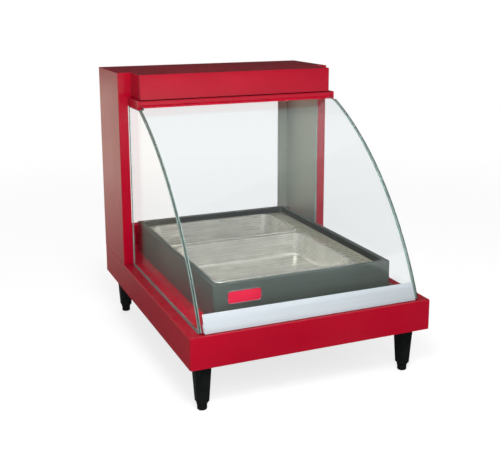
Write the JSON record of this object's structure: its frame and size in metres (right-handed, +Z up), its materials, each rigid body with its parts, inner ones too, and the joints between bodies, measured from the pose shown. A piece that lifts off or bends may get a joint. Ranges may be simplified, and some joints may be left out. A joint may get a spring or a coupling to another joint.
{
  "type": "food holding cabinet",
  "caption": "Countertop heated food display cabinet: red enamelled base and canopy on rear columns, curved hinged front glass, side glass, steel well with lift-out pans, short black legs.",
  "frame": {"origin": "on the counter under the middle of the cabinet: bottom centre of the bounding box", "axes": "+X to the customer's right, +Y from the curved customer-side glass to the operator side, +Z up"},
  "size_m": [0.508, 0.635, 0.594],
  "materials": {
    "red_enamel": "gloss",
    "stainless": "satin",
    "clear_glass": "polished",
    "galvanised": "dull",
    "black_steel": "satin",
    "bright_aluminium": "bright",
    "element_sheath": "matte",
    "bright_wire": "bright",
    "ceramic": "matte",
    "insulation": "matte",
    "lamp_glass": "frosted",
    "black_plastic": "satin",
    "brass": "satin",
    "amber_lens": "gloss",
    "wire_sleeve": "matte",
    "black_rubber": "matte",
    "badge_enamel": "gloss"
  },
  "bodies": {
    "cabinet": {"badge": "badge_enamel", "base_element": "element_sheath", "base_shell": "red_enamel", "bottom_panel": "galvanised", "casing_screws": "bright_wire", "column_cover_left": "red_enamel", "column_cover_right": "red_enamel", "column_gaskets": "black_rubber", "column_liner_left": "stainless", "column_liner_right": "stainless", "cord_gland": "black_plastic", "deck_rails": "stainless", "display_lamp": "lamp_glass", "element_ends": "ceramic", "element_guard": "bright_wire", "element_supports": "ceramic", "gland_nut": "black_plastic", "glass_bumpers": "black_rubber", "heater_housing": "red_enamel", "heater_terminal": "ceramic", "hinge_brackets": "red_enamel", "indicator_light": "amber_lens", "lamp_sockets": "ceramic", "leg_front_left": "black_plastic", "leg_front_right": "black_plastic", "leg_nuts": "bright_wire", "leg_rear_left": "black_plastic", "leg_rear_right": "black_plastic", "light_switch": "black_plastic", "overhead_element": "element_sheath", "power_switch": "black_plastic", "rear_panel": "black_steel", "rear_sill": "red_enamel", "reflector": "bright_aluminium", "side_channels": "stainless", "side_glass_left": "clear_glass", "side_glass_right": "clear_glass", "terminal_block": "ceramic", "thermostat": "black_plastic", "top_cover": "red_enamel", "top_insulation": "insulation", "tray_skirt": "stainless", "well": "stainless", "well_insulation": "insulation", "wire_loom": "wire_sleeve"},
    "glass_door": {"front_glass": "clear_glass", "front_strip": "stainless", "glass_rail": "red_enamel", "rail_ends": "red_enamel"},
    "deck": {"deck": "stainless"},
    "front_pan": {"front_pan": "stainless"},
    "rear_pan": {"rear_pan": "stainless"},
    "power_rocker": {"power_rocker": "black_plastic"},
    "light_rocker": {"light_rocker": "black_plastic"},
    "thermostat_knob": {"thermostat_knob": "black_plastic", "thermostat_spindle": "brass"},
    "foot_front_left": {"foot_front_left": "black_plastic"},
    "foot_front_right": {"foot_front_right": "black_plastic"},
    "foot_rear_left": {"foot_rear_left": "black_plastic"},
    "foot_rear_right": {"foot_rear_right": "black_plastic"}
  },
  "joints": [
    {"name": "glass_hinge", "type": "hinge", "parent": "cabinet", "child": "glass_door", "pos_m": [0, 0.068, 0.528], "axis": [-1, 0, 0], "range_deg": [0, 80]},
    {"name": "deck_lift", "type": "slide", "parent": "cabinet", "child": "deck", "axis": [0, 0, 1], "range_m": [0, 0.018]},
    {"name": "front_pan_lift", "type": "slide", "parent": "deck", "child": "front_pan", "axis": [0, 0, 1], "range_m": [0, 0.046]},
    {"name": "rear_pan_lift", "type": "slide", "parent": "deck", "child": "rear_pan", "axis": [0, 0, 1], "range_m": [0, 0.046]},
    {"name": "power_rocker_tip", "type": "hinge", "parent": "cabinet", "child": "power_rocker", "pos_m": [-0.06, 0.299, 0.129], "axis": [1, 0, 0], "range_deg": [0, 20]},
    {"name": "light_rocker_tip", "type": "hinge", "parent": "cabinet", "child": "light_rocker", "pos_m": [0, 0.299, 0.129], "axis": [1, 0, 0], "range_deg": [0, 20]},
    {"name": "thermostat_turn", "type": "hinge", "parent": "cabinet", "child": "thermostat_knob", "pos_m": [0.095, 0.3, 0.129], "axis": [0, 1, 0], "range_deg": [0, 270]},
    {"name": "foot_front_left_screw", "type": "slide", "parent": "cabinet", "child": "foot_front_left", "axis": [0, 0, -1], "range_m": [0, 0.02]},
    {"name": "foot_front_right_screw", "type": "slide", "parent": "cabinet", "child": "foot_front_right", "axis": [0, 0, -1], "range_m": [0, 0.02]},
    {"name": "foot_rear_left_screw", "type": "slide", "parent": "cabinet", "child": "foot_rear_left", "axis": [0, 0, -1], "range_m": [0, 0.02]},
    {"name": "foot_rear_right_screw", "type": "slide", "parent": "cabinet", "child": "foot_rear_right", "axis": [0, 0, -1], "range_m": [0, 0.02]}
  ]
}
